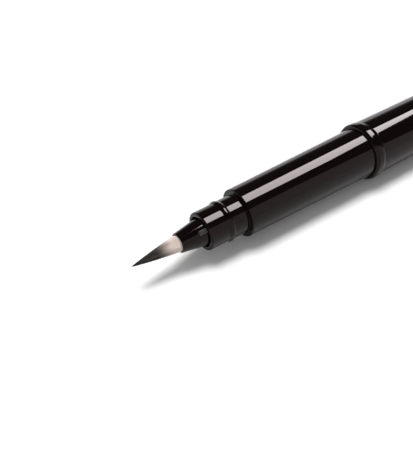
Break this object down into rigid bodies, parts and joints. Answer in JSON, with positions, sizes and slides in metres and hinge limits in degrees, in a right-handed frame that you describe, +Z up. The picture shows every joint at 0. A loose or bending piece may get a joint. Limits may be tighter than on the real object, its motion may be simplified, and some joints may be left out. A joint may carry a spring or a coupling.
{
  "type": "brush pen",
  "caption": "Uncapped refillable brush pen with a tapered grip, collar and barrel, its clipped cap posted on the tail.",
  "frame": {"origin": "centre of the footprint, on the surface the pen lies on", "axes": "+X along the pen from the brush tip to the cap's crown, +Z up"},
  "size_m": [0.178, 0.0144, 0.0132],
  "materials": {
    "black_gloss": "polished",
    "bristle": "fine bristle, ink-stained tip",
    "band_metal": "plain",
    "fibre": "felted",
    "feed_plastic": "moulded",
    "cartridge_plastic": "smooth",
    "ink": "wet",
    "inner_plastic": "smooth",
    "clip_metal": "polished"
  },
  "bodies": {
    "pen": {"section_shell": "black_gloss", "nose_cone": "black_gloss", "tuft_root": "bristle", "tuft_band": "band_metal", "feed_rod": "fibre", "feed_core": "feed_plastic", "feed_wick": "fibre", "piercing_nipple": "feed_plastic", "collar_ring": "black_gloss"},
    "tuft": {"bristle_tuft": "bristle"},
    "cartridge": {"cartridge_tube": "cartridge_plastic", "cartridge_neck": "cartridge_plastic", "seal_ball": "feed_plastic", "ink_fill": "ink"},
    "barrel": {"barrel_tube": "black_gloss", "tail_plug": "black_gloss"},
    "cap": {"cap_shell": "black_gloss", "inner_cap": "inner_plastic", "cap_crown": "black_gloss", "clip_root": "clip_metal"},
    "clip": {"clip_arm": "clip_metal"}
  },
  "joints": [
    {"name": "tuft_bend", "type": "hinge", "parent": "pen", "child": "tuft", "pos_m": [-0.0786, 0.0006, 0.0066], "axis": [0, 1, 0], "range_deg": [-12, 12], "stiffness_Nm_per_rad": 0.001},
    {"name": "cartridge_pull", "type": "slide", "parent": "pen", "child": "cartridge", "axis": [1, 0, 0], "range_m": [0, 0.0085]},
    {"name": "barrel_off", "type": "slide", "parent": "pen", "child": "barrel", "axis": [1, 0, 0], "range_m": [0, 0.055]},
    {"name": "cap_off", "type": "slide", "parent": "barrel", "child": "cap", "axis": [1, 0, 0], "range_m": [0, 0.028]},
    {"name": "clip_flex", "type": "hinge", "parent": "cap", "child": "clip", "pos_m": [0.0869, -0.00487, 0.00231], "axis": [0, -0.6175, 0.7866], "range_deg": [0, 3], "stiffness_Nm_per_rad": 1.5}
  ]
}
